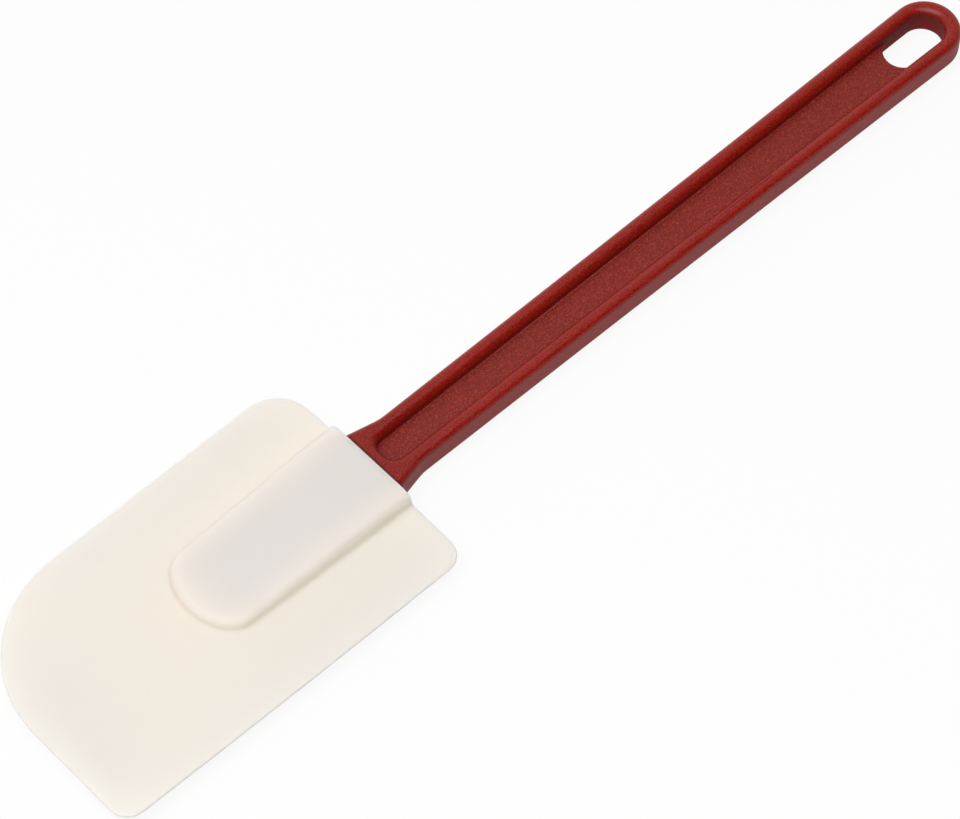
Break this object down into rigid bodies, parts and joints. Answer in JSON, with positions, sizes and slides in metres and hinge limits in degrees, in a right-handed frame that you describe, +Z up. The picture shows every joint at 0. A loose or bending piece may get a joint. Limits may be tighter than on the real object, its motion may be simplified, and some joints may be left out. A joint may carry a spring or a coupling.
{
  "type": "spatula",
  "caption": "Kitchen spatula with a wide flexible silicone blade moulded round the tang of a stiff ribbed handle with a hanging slot.",
  "frame": {"origin": "under the middle of the spatula's bounding box, on the surface that it lies on", "axes": "+X along the handle to its hanging slot, +Y across the blade to its large-radius front corner, +Z up from the surface it lies on"},
  "size_m": [0.343, 0.0746, 0.0108],
  "materials": {
    "handle_plastic": "fine-grained red moulded plastic",
    "silicone": "smooth satin cream silicone"
  },
  "bodies": {
    "root": {"handle": "handle_plastic", "silicone_blade": "silicone"}
  },
  "joints": []
}
